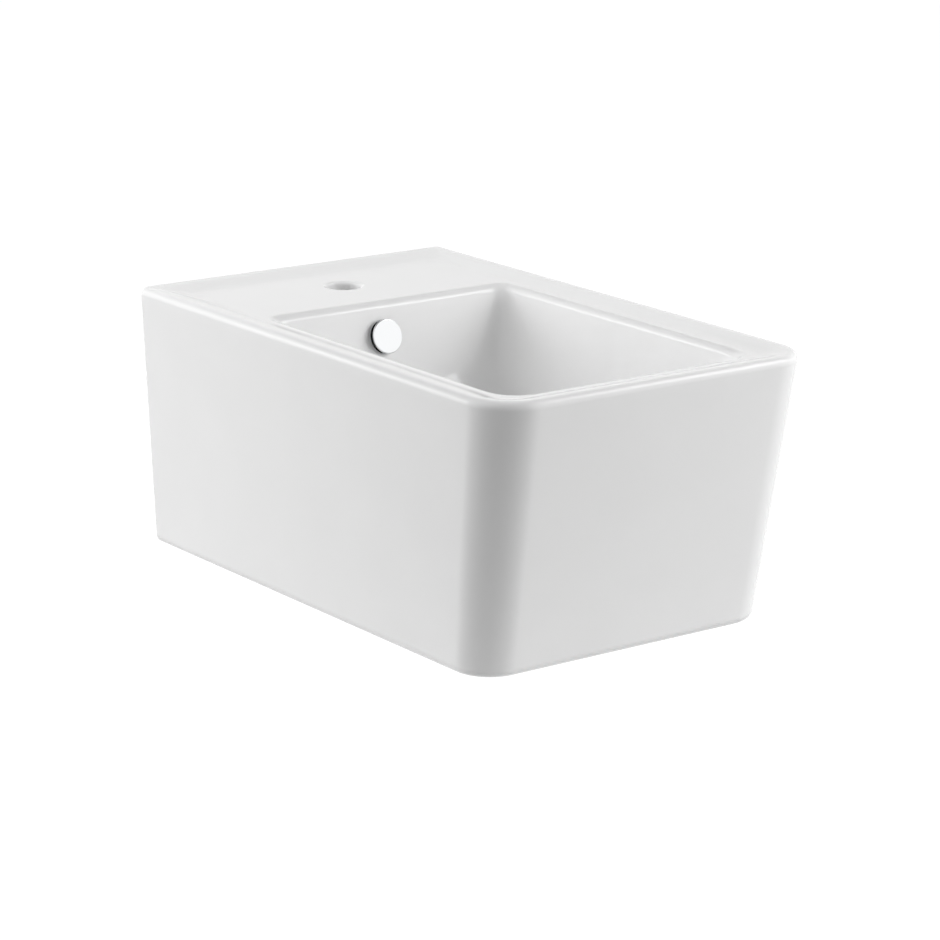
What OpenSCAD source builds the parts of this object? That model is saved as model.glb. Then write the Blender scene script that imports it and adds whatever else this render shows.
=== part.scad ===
// Wall-hung bidet with its overflow, push-open waste and hidden wall fixings.
// The origin is on the wall, midway between the two fixing studs. The front points to -Y and up is +Z.

/* [Ceramic body] */
// Width across the rim
body_width = 360; // [345:5:400]
// Length from the wall to the front
body_length = 570; // [550:5:620]
// Height from the bottom edge to the top of the rim
body_height = 257; // [250:1:290]
// How far each side leans in at the bottom
side_taper = 14.5; // [6:0.5:20]
// How far the front leans in at the bottom
front_taper = 41; // [20:1:50]
// Radius of the front corners at the rim
corner_radius_top = 46; // [40:1:60]
// Radius of the front corners at the bottom
corner_radius_bottom = 38; // [30:1:45]
// Radius over the top outer edge
top_edge_radius = 8; // [5:0.5:11]
// Radius under the bottom outer edge
bottom_edge_radius = 8; // [5:0.5:11]
// Thickness of the skirt and the bowl
wall = 12; // [10:0.5:14]
// Thickness of the deck
deck_thickness = 13; // [11:0.5:15]
// Thickness of the rear plate
rear_plate = 14; // [12:0.5:18]
// Width of the lip that turns in under the skirt
lip_width = 34; // [28:1:42]
// Thickness of that lip
lip_thickness = 12; // [10:0.5:14]
// Width of the pipe opening in the rear plate
pipe_opening_width = 200; // [160:5:220]
// Height of the pipe opening above the bottom edge
pipe_opening_height = 120; // [90:5:130]

/* [Rim and bowl] */
// Width of the rim at the sides and the front
rim_width = 44; // [40:1:50]
// How far the bowl's edge lies below the outer edge
rim_drop = 5; // [3:0.5:6]
// Radius over the bowl's edge
rim_inner_radius = 7; // [5:0.5:8]
// Deck from the wall to the bowl
deck_depth = 161; // [155:1:175]
// Depth of the bowl from the rim to the waste
bowl_depth = 128; // [120:1:136]
// Plan radius of the bowl's front corners at the rim
bowl_front_corner = 25; // [18:1:32]
// Plan radius of the bowl's rear corners at the rim
bowl_rear_corner = 10; // [8:1:16]
// Lean of the bowl's rear wall in degrees
rear_slope = 16.5; // [12:0.5:19]
// Lean of the bowl's side walls in degrees
side_slope = 8; // [5:0.5:10]
// Lean of the bowl's front wall in degrees
front_slope = 10; // [6:0.5:13]
// Fall of the bowl's floor towards the waste
floor_fall = 8; // [6:0.5:10]

/* [Tap hole] */
// Diameter of the tap hole
tap_hole_diameter = 35; // [33:0.5:36]
// Distance of the tap hole from the wall
tap_hole_back = 83; // [75:1:90]
// Radius over the edge of the tap hole
tap_hole_edge = 3; // [2:0.5:4]

/* [Overflow] */
// Place of the overflow across the bowl
overflow_offset = -15; // [-20:1:20]
// Depth of the overflow's middle below the deck
overflow_drop = 32.5; // [30:0.5:38]
// Diameter of the hole in the bowl's wall
overflow_hole = 24; // [23:0.5:26]
// Diameter of the cap
cap_diameter = 33; // [31:0.5:36]
// Thickness of the cap's plate
cap_plate = 2.2; // [1.8:0.1:3]
// Gap behind the cap where the water enters
cap_gap = 3.4; // [2.5:0.1:5]
// Thickness of the ring's flange
ring_flange = 2; // [1.5:0.1:2.6]
// Depth of the ring's sleeve in the ceramic
ring_sleeve = 14; // [11:0.5:17]
// Bore of the overflow duct inside the ceramic
duct_bore = 18; // [14:1:20]

/* [Waste] */
// Distance of the waste from the wall
waste_back = 290; // [280:1:300]
// Diameter of the hole through the ceramic
waste_hole = 46; // [45:0.5:47]
// Outer diameter of the threaded tube
waste_tube = 41.9; // [41:0.1:42.4]
// Wall of the threaded tube
waste_tube_wall = 2.9; // [2.4:0.1:3.4]
// Diameter of the flange in the bowl
flange_diameter = 63; // [61:0.5:65]
// Thickness of the flange
flange_thickness = 4; // [3.5:0.1:5]
// Thickness of the gasket under the flange
gasket_thickness = 2; // [1.5:0.1:3]
// Length of the tube from the top of the flange
waste_length = 98.5; // [92:0.5:104]
// Diameter of the plug
plug_diameter = 64; // [62:0.5:66]
// Thickness of the plug at its middle
plug_thickness = 5; // [4.4:0.1:7]
// Travel of the plug
plug_travel = 8; // [6:0.5:9]
// Diameter of the plug's stem
stem_diameter = 6.4; // [6:0.1:7]
// Diameter of the mechanism's housing
housing_diameter = 16; // [15.5:0.1:18]

/* [Wall fixing] */
// Distance between the studs
fixing_spacing = 180; // [170:5:190]
// Depth of the studs below the top of the rim
fixing_drop = 70; // [66:1:80]
// Diameter of the studs
stud_diameter = 12; // [11:0.5:12.5]
// Length of the stud in the wall
stud_in_wall = 60; // [40:5:80]
// Diameter of the bores in the ceramic
fixing_bore = 20; // [19:0.5:22]
// Depth of ceramic that the bores pass through
fixing_boss_depth = 30; // [26:1:34]

/* [Hidden] */

round_steps = 72;
corner_steps = 10;
edge_steps = 4;
bowl_steps = 8;
overlap = 1;

// Levels of the ceramic, measured from the studs
rim_z = fixing_drop;
base_z = rim_z - body_height;
deck_z = rim_z - rim_drop;
hollow_top_z = deck_z - deck_thickness;
lip_top_z = base_z + lip_thickness;
bowl_wall_z = deck_z - rim_inner_radius;
floor_z = rim_z - bowl_depth;
basin_z = floor_z + floor_fall;
rear_edge = 2;
hollow_corner = 8;
hollow_chamfer = 6;

// The bowl in plan
rim_half = body_width / 2 - rim_width;
bowl_back = -deck_depth;
bowl_front = -(body_length - rim_width);
side_curve = 55;
rear_curve = 30;
front_curve = 60;
corner_growth = 0.6;

// The waste's levels
waste_y = -waste_back;
flange_rise = 0.5;
flange_top_z = floor_z + flange_rise;
gasket_top_z = flange_top_z - flange_thickness;
seat_z = gasket_top_z - gasket_thickness;
seat_radius = flange_diameter / 2 + 1.5;
floor_ring_radius = seat_radius + 1;
boss_radius = 42;
boss_length = 39.5;
boss_bottom_z = seat_z - boss_length;
gallery_depth = 6;
gallery_height = 18;
gallery_z = (seat_z + boss_bottom_z) / 2 + 1;
tube_radius = waste_tube / 2;
tube_bore = tube_radius - waste_tube_wall;
tail_z = flange_top_z - waste_length;
thread_clearance = 0.05;
slot_width = 12;
slot_height = 10;
relief_gap = 1;
relief_width = 3;
relief_depth = 0.8;

// Seals and nut under the boss
cone_neck = 4.5;
cone_height = 6;
cone_radius = 31;
cone_bottom_z = boss_bottom_z - cone_height;
slip_washer_thickness = 2;
nut_height = 12;
nut_across_flats = 54;
nut_top_z = cone_bottom_z - slip_washer_thickness;
seal_clearance = 0.3;

// The plug and its mechanism
closed_gap = 0.3;
plug_z = flange_top_z + closed_gap + plug_travel;
pocket_depth = 2;
pocket_radius = flange_diameter / 2 - 4.5;
plug_seal_radius = pocket_radius - 1;
plug_seal_bore = tube_bore + 2;
plug_seal_height = pocket_depth + closed_gap - 0.2;
plug_rim = 2.4;
plug_boss_radius = 8;
plug_boss_height = 4;
stem_radius = stem_diameter / 2;
stem_fit = 0.08;
stem_socket = 2;
collar_height = 6;
collar_radius = housing_diameter / 2 + 1;
collar_top_z = plug_z - plug_travel - plug_boss_height - 1;
housing_top_z = collar_top_z - collar_height;
housing_floor = 3;
housing_length = 30;
housing_bottom_z = housing_top_z - housing_length;
housing_bore = housing_diameter / 2 - 2.4;
stub_radius = 4;
hub_radius = 7.5;
hub_height = 6;
arm_width = 3.5;
spring_seat_z = housing_bottom_z + housing_floor;
ring_height = 5;
ring_clearance = 0.2;
spring_wire = 0.9;
spring_turns = 7;
spring_gap = 0.1;
ring_top_z = housing_top_z - 0.2;
ring_z = ring_top_z - ring_height;
stem_end_z = ring_z - 6;
spring_radius = (stem_radius + housing_bore) / 2 - 0.1;

// The overflow's place on the bowl's rear wall
overflow_seat_depth = 0.2;
overflow_y = bowl_back - overflow_drop * tan(rear_slope) + overflow_seat_depth;
overflow_z = deck_z - overflow_drop;
overflow_gasket_thickness = 1.2;
ring_bore = overflow_hole / 2 - 2;
ring_sleeve_radius = overflow_hole / 2 - 0.5;
ring_flange_top = overflow_gasket_thickness + ring_flange;
cap_back = ring_flange_top + cap_gap;
leg_radius = 1.6;
leg_place = ring_bore - leg_radius - 0.2;
leg_depth = 8;
duct_wall = 8;
duct_radius = duct_bore / 2 + duct_wall;
duct_setback = 26;
knee_swell = 1;
overflow_boss_radius = overflow_hole / 2 + duct_wall;
duct_top = on_overflow_axis(-duct_setback);
duct_knee = [overflow_offset, duct_top[1] - (duct_top[2] - gallery_z) * tan(rear_slope), gallery_z];

// The wall fixing, from the wall inwards
fixing_boss_radius = 28;
stud_radius = stud_diameter / 2;
sleeve_bore = stud_radius + 0.3;
sleeve_radius = fixing_bore / 2 - 0.3;
sleeve_flange_radius = 17;
sleeve_flange = 2.5;
sleeve_back = 2;
washer_radius = 18;
rubber_thickness = 2;
steel_thickness = 2.5;
stud_nut_height = 10;
stud_nut_across_flats = 18;
stud_free_end = 10;
stud_shank_end = 1;
stud_thread_radius = stud_radius - 0.25;
sleeve_front_y = -(fixing_boss_depth + sleeve_flange);
rubber_front_y = sleeve_front_y - rubber_thickness;
steel_front_y = rubber_front_y - steel_thickness;
nut_front_y = steel_front_y - stud_nut_height;
stud_front_y = nut_front_y - stud_free_end;

function on_overflow_axis(distance) =
    [overflow_offset, overflow_y - distance * cos(rear_slope), overflow_z + distance * sin(rear_slope)];

// Points round one corner of an outline
function corner_points(x, y, r, start, z) =
    [for (i = [0:corner_steps])
        let (a = start + 90 * i / corner_steps)
        [x + r * cos(a), y + r * sin(a), z]];

// A rounded rectangle seen from above, with its own radius at the back and at the front
function outline(half, back, front, r_back, r_front, z) = concat(
    corner_points(half - r_back, back - r_back, r_back, 0, z),
    corner_points(r_back - half, back - r_back, r_back, 90, z),
    corner_points(r_front - half, front + r_front, r_front, 180, z),
    corner_points(half - r_front, front + r_front, r_front, 270, z));

// A closed solid through a stack of outlines, from the lowest to the highest
module loft(rings) {
    n = len(rings[0]);
    last = len(rings) - 1;
    sides = [for (k = [0:last - 1], i = [0:n - 1])
        let (a = k * n + i, b = k * n + (i + 1) % n)
        each [[a, a + n, b + n], [a, b + n, b]]];
    bottom = [for (i = [0:n - 1]) i];
    top = [for (i = [n - 1:-1:0]) last * n + i];
    polyhedron(points = [for (ring = rings) each ring], faces = concat([bottom], sides, [top]));
}

// The skirt's planes: 0 at the bottom edge and 1 at the rim
function skirt_share(z) = (z - base_z) / body_height;
function skirt_half(z) = body_width / 2 - side_taper * (1 - skirt_share(z));
function skirt_front(z) = front_taper * (1 - skirt_share(z)) - body_length;
function skirt_corner(z) =
    corner_radius_bottom + (corner_radius_top - corner_radius_bottom) * skirt_share(z);
function skirt_ring(z, inset, back, r_back) =
    outline(skirt_half(z) - inset, back, skirt_front(z) + inset, r_back, skirt_corner(z) - inset, z);

module outer_form() {
    loft(concat(
        [for (i = [0:edge_steps])
            let (a = 90 * i / edge_steps)
            skirt_ring(base_z + bottom_edge_radius * (1 - cos(a)), bottom_edge_radius * (1 - sin(a)),
                       0, rear_edge)],
        [for (i = [0:edge_steps])
            let (a = 90 * i / edge_steps)
            skirt_ring(rim_z - top_edge_radius * (1 - sin(a)), top_edge_radius * (1 - cos(a)),
                       0, rear_edge)]));
}

// The shallow fall from the outer edge to the bowl
module dish() {
    low = rim_width - rim_inner_radius;
    fall = (low - top_edge_radius) / rim_drop;
    high = top_edge_radius - fall * overlap;
    loft([
        outline(skirt_half(rim_z) - low, -low, skirt_front(rim_z) + low,
                bowl_rear_corner, bowl_front_corner + rim_inner_radius, deck_z),
        outline(skirt_half(rim_z) - high, fall * overlap, skirt_front(rim_z) + high,
                bowl_rear_corner, corner_radius_top - high, rim_z + overlap)]);
}

// The hollow between the skirt and the bowl
module hollow() {
    loft([
        skirt_ring(lip_top_z, wall, -rear_plate, hollow_corner),
        skirt_ring(hollow_top_z - hollow_chamfer, wall, -rear_plate, hollow_corner),
        skirt_ring(hollow_top_z, wall + hollow_chamfer, -rear_plate - hollow_chamfer, hollow_corner)]);
}

// The bowl's lean, its curve into the floor and its growing corners, at one level
function bowl_curve(z) =
    let (u = max(0, min(1, (bowl_wall_z - z) / (bowl_wall_z - basin_z))))
    1 - sqrt(1 - pow(u, 4));
function bowl_flare(z) =
    z <= bowl_wall_z ? 0
    : rim_inner_radius - sqrt(pow(rim_inner_radius, 2) - pow(min(z, deck_z) - bowl_wall_z, 2));
function bowl_half(z) = rim_half - (deck_z - z) * tan(side_slope) - side_curve * bowl_curve(z);
function bowl_corner(z, r, half) = min(r + corner_growth * (deck_z - z), half - 0.5);

function bowl_ring(z, grow, drop) =
    let (g = grow + bowl_flare(z), half = bowl_half(z), depth = deck_z - z)
    outline(half + g,
            bowl_back - depth * tan(rear_slope) - rear_curve * bowl_curve(z) + g,
            bowl_front + depth * tan(front_slope) + front_curve * bowl_curve(z) - g,
            bowl_corner(z, bowl_rear_corner, half) + g,
            bowl_corner(z, bowl_front_corner, half) + g, z - drop);

function floor_ring(grow, drop) =
    let (span = floor_ring_radius + 0.5 + grow, r = floor_ring_radius + grow)
    outline(span, waste_y + span, waste_y - span, r, r, floor_z - drop);

// The levels at which the curve turns by equal steps
function bowl_level(i) = bowl_wall_z - (bowl_wall_z - basin_z) * sqrt(sin(90 * i / bowl_steps));

module bowl_space() {
    loft(concat(
        [floor_ring(0, 0)],
        [for (i = [bowl_steps:-1:0]) bowl_ring(bowl_level(i), 0, 0)],
        [for (i = [1:edge_steps])
            bowl_ring(bowl_wall_z + rim_inner_radius * sin(90 * i / edge_steps), 0, 0)],
        [outline(rim_half + rim_inner_radius, bowl_back + rim_inner_radius,
                 bowl_front - rim_inner_radius, bowl_rear_corner + rim_inner_radius,
                 bowl_front_corner + rim_inner_radius, deck_z + overlap / 2)]));
}

module bowl_shell() {
    loft(concat(
        [floor_ring(wall, wall)],
        [for (i = [bowl_steps:-1:0])
            bowl_ring(bowl_level(i), wall, wall * bowl_curve(bowl_level(i)))]));
}

// A straight round bar between two points
module bar(from, to, r) {
    d = to - from;
    translate(from)
        rotate([0, acos(d[2] / norm(d)), atan2(d[1], d[0])])
            cylinder(r = r, h = norm(d), $fn = round_steps);
}

module ball(at, r) {
    translate(at) sphere(r = r, $fn = round_steps);
}

// Places a shape on the bowl's rear wall, with +Z standing out into the bowl
module at_overflow() {
    translate([overflow_offset, overflow_y, overflow_z]) rotate([90 - rear_slope, 0, 0]) children();
}

module at_waste() {
    translate([0, waste_y, 0]) children();
}

// Places a shape at each stud, with +Z pointing from the wall into the room
module at_studs() {
    for (side = [-1, 1]) {
        translate([side * fixing_spacing / 2, 0, 0]) rotate([90, 0, 0]) children();
    }
}

// A ring between two levels
module tube(r_out, r_in, from, to) {
    translate([0, 0, from]) {
        difference() {
            cylinder(r = r_out, h = to - from, $fn = round_steps);
            translate([0, 0, -overlap]) cylinder(r = r_in, h = to - from + 2 * overlap, $fn = round_steps);
        }
    }
}

// The overflow's duct, from behind its hole to the given distance from the waste's axis
module duct(r, reach) {
    bar(duct_top, duct_knee, r);
    ball(duct_knee, r + knee_swell);
    bar(duct_knee, [0, waste_y + reach, gallery_z], r);
}

module overflow_boss() {
    translate([0, 0, -duct_setback - overflow_hole / 2])
        cylinder(r = overflow_boss_radius, h = duct_setback + overflow_hole / 2 - wall / 2, $fn = round_steps);
}

module waste_boss() {
    translate([0, 0, boss_bottom_z]) cylinder(r = boss_radius, h = seat_z - boss_bottom_z, $fn = round_steps);
}

// The waste's hole, its seat in the bowl and the gallery that collects the overflow
module waste_cut() {
    translate([0, 0, boss_bottom_z - overlap])
        cylinder(d = waste_hole, h = boss_length + 2 * overlap, $fn = round_steps);
    translate([0, 0, seat_z]) cylinder(r = seat_radius, h = floor_z - seat_z + overlap, $fn = round_steps);
    translate([0, 0, gallery_z - gallery_height / 2])
        cylinder(r = waste_hole / 2 + gallery_depth, h = gallery_height, $fn = round_steps);
}

module tap_hole() {
    r = tap_hole_diameter / 2;
    translate([0, -tap_hole_back, hollow_top_z - overlap])
        cylinder(r = r, h = deck_thickness + 2 * overlap, $fn = round_steps);
    translate([0, -tap_hole_back, deck_z - tap_hole_edge]) {
        rotate_extrude($fn = round_steps) {
            difference() {
                square([r + tap_hole_edge, tap_hole_edge + overlap]);
                translate([r + tap_hole_edge, 0]) circle(r = tap_hole_edge, $fn = round_steps);
            }
        }
    }
}

// The way in for the pipes, through the rear plate and the lip below it
module pipe_opening() {
    corner = 20;
    top_z = base_z + pipe_opening_height;
    depth = rear_plate + lip_width;
    for (side = [-1, 1]) {
        translate([side * (pipe_opening_width / 2 - corner), overlap, top_z - corner])
            rotate([90, 0, 0]) cylinder(r = corner, h = depth, $fn = round_steps);
    }
    translate([corner - pipe_opening_width / 2, overlap - depth, base_z - overlap])
        cube([pipe_opening_width - 2 * corner, depth, pipe_opening_height + overlap]);
    translate([-pipe_opening_width / 2, overlap - depth, base_z - overlap])
        cube([pipe_opening_width, depth, pipe_opening_height - corner + overlap]);
}

module lip_opening() {
    corner = 14;
    translate([0, 0, base_z - overlap]) {
        linear_extrude(lip_thickness + 2 * overlap) {
            polygon([for (p = outline(skirt_half(base_z) - lip_width, -lip_width,
                                      skirt_front(base_z) + lip_width, corner, corner, 0)) [p[0], p[1]]]);
        }
    }
}

module ceramic_body() {
    color("white") {
        difference() {
            union() {
                difference() {
                    outer_form();
                    dish();
                    hollow();
                }
                bowl_shell();
                at_waste() waste_boss();
                duct(duct_radius, floor_ring_radius);
                at_overflow() overflow_boss();
                at_studs() cylinder(r = fixing_boss_radius, h = fixing_boss_depth, $fn = round_steps);
            }
            bowl_space();
            at_waste() waste_cut();
            duct(duct_bore / 2, waste_hole / 2 + 1);
            at_overflow() {
                translate([0, 0, -duct_setback])
                    cylinder(d = overflow_hole, h = duct_setback + wall, $fn = round_steps);
                cylinder(r = cap_diameter / 2 + 0.5, h = wall / 2, $fn = round_steps);
            }
            at_studs() {
                translate([0, 0, -overlap])
                    cylinder(d = fixing_bore, h = fixing_boss_depth + 2 * overlap, $fn = round_steps);
            }
            tap_hole();
            pipe_opening();
            lip_opening();
        }
    }
}

module overflow_gasket() {
    color("dimgray") at_overflow() {
        tube(cap_diameter / 2 - 1.5, overflow_hole / 2, 0, overflow_gasket_thickness);
    }
}

module overflow_ring() {
    color("silver") at_overflow() {
        tube(cap_diameter / 2, ring_bore, overflow_gasket_thickness, ring_flange_top);
        tube(ring_sleeve_radius, ring_bore, -ring_sleeve, overflow_gasket_thickness);
    }
}

// The plate stands off the ring on three legs that grip its sleeve
module overflow_cap() {
    color("gainsboro") at_overflow() {
        translate([0, 0, cap_back]) cylinder(d = cap_diameter, h = cap_plate, $fn = round_steps);
        for (turn = [90, 210, 330]) {
            rotate([0, 0, turn])
                translate([leg_place, 0, -leg_depth])
                    cylinder(r = leg_radius, h = leg_depth + cap_back + cap_plate / 2, $fn = 24);
        }
    }
}

module waste_body() {
    color("silver") at_waste() {
        difference() {
            union() {
                translate([0, 0, gasket_top_z])
                    cylinder(d = flange_diameter, h = flange_thickness, $fn = round_steps);
                translate([0, 0, tail_z])
                    cylinder(r = tube_radius, h = gasket_top_z - tail_z + overlap, $fn = round_steps);
            }
            translate([0, 0, tail_z - overlap])
                cylinder(r = tube_bore, h = waste_length + 2 * overlap, $fn = round_steps);
            translate([0, 0, flange_top_z - pocket_depth])
                cylinder(r = pocket_radius, h = pocket_depth + overlap, $fn = round_steps);
            for (turn = [0:90:270]) {
                rotate([0, 0, turn + 45])
                    translate([0, -slot_width / 2, gallery_z - slot_height / 2])
                        cube([tube_radius + overlap, slot_width, slot_height]);
            }
            tube(tube_radius + overlap, tube_radius - relief_depth,
                 nut_top_z - nut_height - relief_gap - relief_width, nut_top_z - nut_height - relief_gap);
        }
        tube(hub_radius, stub_radius + thread_clearance, housing_bottom_z - hub_height, housing_bottom_z);
        for (turn = [0:120:240]) {
            rotate([0, 0, turn])
                translate([hub_radius - 1, -arm_width / 2, housing_bottom_z - hub_height])
                    cube([tube_bore - hub_radius + 2, arm_width, hub_height]);
        }
    }
}

module waste_top_gasket() {
    color("dimgray") at_waste() tube(flange_diameter / 2 - 1, tube_radius + seal_clearance, seat_z, gasket_top_z);
}

module waste_cone_seal() {
    bore = tube_radius + seal_clearance;
    color("dimgray") at_waste() {
        tube(waste_hole / 2 - seal_clearance, bore, boss_bottom_z, boss_bottom_z + cone_neck);
        tube(cone_radius, bore, cone_bottom_z, boss_bottom_z);
    }
}

module waste_slip_washer() {
    color("white") at_waste() tube(cone_radius, tube_radius + seal_clearance, nut_top_z, cone_bottom_z);
}

// A hexagonal nut, standing on the level z
module hex_nut(across_flats, bore, height, z) {
    translate([0, 0, z]) {
        difference() {
            cylinder(d = across_flats / cos(30), h = height, $fn = 6);
            translate([0, 0, -overlap]) cylinder(r = bore, h = height + 2 * overlap, $fn = round_steps);
        }
    }
}

module waste_back_nut() {
    color("goldenrod") at_waste()
        hex_nut(nut_across_flats, tube_radius + thread_clearance, nut_height, nut_top_z - nut_height);
}

module cartridge_housing() {
    color("whitesmoke") at_waste() {
        difference() {
            translate([0, 0, housing_bottom_z])
                cylinder(d = housing_diameter, h = housing_length, $fn = round_steps);
            translate([0, 0, spring_seat_z])
                cylinder(r = housing_bore, h = housing_length, $fn = round_steps);
        }
        translate([0, 0, housing_bottom_z - hub_height - 2])
            cylinder(r = stub_radius, h = hub_height + 2 + overlap, $fn = round_steps);
    }
}

module cartridge_collar() {
    color("whitesmoke") at_waste()
        tube(collar_radius, stem_radius + stem_fit, housing_top_z, collar_top_z);
}

// The plug's plate, domed on top, with a round edge and a socket for the stem below
module plug_cover() {
    r = plug_diameter / 2;
    crown = plug_thickness - plug_rim;
    dome = (pow(r, 2) + pow(crown, 2)) / (2 * crown);
    color("silver") at_waste() {
        difference() {
            union() {
                intersection() {
                    translate([0, 0, plug_z]) cylinder(r = r, h = plug_thickness, $fn = round_steps);
                    translate([0, 0, plug_z + plug_thickness - dome]) sphere(r = dome, $fn = 2 * round_steps);
                }
                translate([0, 0, plug_z - plug_boss_height])
                    cylinder(r = plug_boss_radius, h = plug_boss_height + overlap, $fn = round_steps);
            }
            translate([0, 0, plug_z - plug_boss_height - overlap])
                cylinder(r = stem_radius + thread_clearance,
                         h = plug_boss_height + stem_socket + overlap, $fn = round_steps);
        }
    }
}

module plug_seal() {
    color("dimgray") at_waste() tube(plug_seal_radius, plug_seal_bore, plug_z - plug_seal_height, plug_z);
}

module plug_stem() {
    color("gold") at_waste()
        translate([0, 0, stem_end_z])
            cylinder(r = stem_radius, h = plug_z + stem_socket - stem_end_z, $fn = round_steps);
}

// The stepping ring that holds the plug down and lets it up in turn
module index_ring() {
    notch = 1.6;
    r_out = housing_bore - ring_clearance;
    color("orange") at_waste() {
        difference() {
            tube(r_out, stem_radius + thread_clearance, ring_z, ring_top_z);
            for (turn = [0:60:300]) {
                rotate([0, 0, turn])
                    translate([r_out - 0.8, -notch / 2, ring_z + ring_height / 2])
                        cube([2, notch, ring_height]);
            }
        }
    }
}

// Points of the spring's wire: rings of six points square to the coil
function coil_ring(turn, z) =
    let (a = 360 * turn)
    [for (k = [0:5])
        let (r = spring_radius + spring_wire / 2 * cos(60 * k))
        [r * cos(a), r * sin(a), z + spring_wire / 2 * sin(60 * k)]];

module plug_spring() {
    steps = 12 * spring_turns;
    low = spring_seat_z + spring_wire / 2 + spring_gap;
    high = ring_z - spring_wire / 2 - spring_gap;
    rings = [for (i = [0:steps]) coil_ring(i / 12, low + (high - low) * i / steps)];
    points = [for (ring = rings) each ring];
    sides = [for (i = [0:steps - 1], k = [0:5])
        let (a = 6 * i + k, b = 6 * i + (k + 1) % 6)
        each [[a, a + 6, b + 6], [a, b + 6, b]]];
    ends = [[0, 1, 2, 3, 4, 5], [for (k = [5:-1:0]) 6 * steps + k]];
    color("lightgray") at_waste() polyhedron(points = points, faces = concat(sides, ends));
}

// A plain shank in the wall, and a thread without its turns in the room
module wall_studs() {
    color("silver") at_studs() {
        translate([0, 0, -stud_in_wall])
            cylinder(r = stud_radius, h = stud_in_wall + stud_shank_end, $fn = round_steps);
        cylinder(r = stud_thread_radius, h = -stud_front_y, $fn = round_steps);
    }
}

module stud_sleeves() {
    color("white") at_studs() {
        tube(sleeve_radius, sleeve_bore, sleeve_back, fixing_boss_depth);
        tube(sleeve_flange_radius, sleeve_bore, fixing_boss_depth, -sleeve_front_y);
    }
}

module rubber_washers() {
    color("dimgray") at_studs() tube(washer_radius, sleeve_bore, -sleeve_front_y, -rubber_front_y);
}

module steel_washers() {
    color("silver") at_studs() tube(washer_radius, sleeve_bore, -rubber_front_y, -steel_front_y);
}

module stud_nuts() {
    color("silver") at_studs()
        hex_nut(stud_nut_across_flats, stud_thread_radius + thread_clearance, stud_nut_height,
                -steel_front_y);
}

ceramic_body();
overflow_ring();
overflow_cap();
overflow_gasket();
waste_body();
waste_top_gasket();
waste_cone_seal();
waste_slip_washer();
waste_back_nut();
cartridge_housing();
cartridge_collar();
plug_cover();
plug_seal();
plug_stem();
index_ring();
plug_spring();
wall_studs();
stud_sleeves();
rubber_washers();
steel_washers();
stud_nuts();
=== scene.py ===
import math

import bmesh
import bpy
from mathutils import Matrix, Vector


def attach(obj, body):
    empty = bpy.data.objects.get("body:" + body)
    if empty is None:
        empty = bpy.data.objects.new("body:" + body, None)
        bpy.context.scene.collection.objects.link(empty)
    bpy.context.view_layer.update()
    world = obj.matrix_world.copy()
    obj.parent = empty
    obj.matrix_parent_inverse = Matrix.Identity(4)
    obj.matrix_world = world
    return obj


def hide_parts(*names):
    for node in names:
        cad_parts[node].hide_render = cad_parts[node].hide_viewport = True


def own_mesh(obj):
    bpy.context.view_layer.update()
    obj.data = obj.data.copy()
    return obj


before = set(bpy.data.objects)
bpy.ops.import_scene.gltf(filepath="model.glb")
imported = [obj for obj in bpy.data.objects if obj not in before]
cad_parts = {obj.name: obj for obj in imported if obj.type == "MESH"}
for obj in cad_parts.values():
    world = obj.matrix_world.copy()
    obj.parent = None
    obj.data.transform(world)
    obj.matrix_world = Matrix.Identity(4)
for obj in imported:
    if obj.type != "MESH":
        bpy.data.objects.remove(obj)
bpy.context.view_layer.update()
print("frame loaded:", len(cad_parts), "nodes")

mm = 0.001
samePoint = 1e-6  # metres within which two points of a mesh are one
weldDistance = 0.002  # mm within which a tree joins the two sides of a seam
proud = 1  # mm that a cutter stands out of what it cuts


def linear(hexColour):  # sRGB hex to the linear values that the shaders use
    parts = [int(hexColour[i:i + 2], 16) / 255 for i in (1, 3, 5)]
    return [c / 12.92 if c <= 0.04045 else ((c + 0.055) / 1.055) ** 2.4 for c in parts] + [1.0]


def addNode(tree, kind, settings=None, inputs=None):
    node = tree.nodes.new(kind)
    for name, value in (settings or {}).items():
        setattr(node, name, value)
    for name, value in (inputs or {}).items():
        socket = node.inputs[name]
        if isinstance(value, bpy.types.NodeSocket):
            tree.links.new(value, socket)
        else:
            socket.default_value = value
    return node


def show(obj):
    bpy.context.scene.collection.objects.link(obj)
    return obj


def towards(azimuth, elevation):  # a direction in degrees, as seen from above: 0 in front, -90 at the left
    a, e = math.radians(azimuth), math.radians(elevation)
    return Vector((math.sin(a) * math.cos(e), -math.cos(a) * math.cos(e), math.sin(e)))


def arc(x, y, radius, start, end, count):  # points round a centre, from one angle in degrees to another
    angles = [math.radians(start + (end - start) * i / count) for i in range(count + 1)]
    return [(x + radius * math.cos(a), y + radius * math.sin(a)) for a in angles]


# Camera: solved from the straight edges of the body in the photograph
camera = {"place": (-1860.5, -2770.6, 774.3), "azimuth": -36.88, "elevation": 15.3, "roll": 0.66,
          "focalPixels": 3435.8, "framePixels": 940, "sensor": 36, "farthest": 50}
az, roll = math.radians(camera["azimuth"]), math.radians(camera["roll"])
backwards = towards(camera["azimuth"], camera["elevation"])
level = Vector((math.cos(az), math.sin(az), 0))
upright = backwards.cross(level)
sideways = level * math.cos(roll) + upright * math.sin(roll)
upwards = upright * math.cos(roll) - level * math.sin(roll)
cameraObject = show(bpy.data.objects.new("camera", bpy.data.cameras.new("camera")))
cameraObject.matrix_world = Matrix.Translation(Vector(camera["place"]) * mm) @ Matrix(
    (sideways, upwards, backwards)).transposed().to_4x4()
cameraObject.data.sensor_width = camera["sensor"]
cameraObject.data.lens = camera["focalPixels"] * camera["sensor"] / camera["framePixels"]
cameraObject.data.clip_end = camera["farthest"]
bpy.context.scene.camera = cameraObject
print("camera set")


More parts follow.
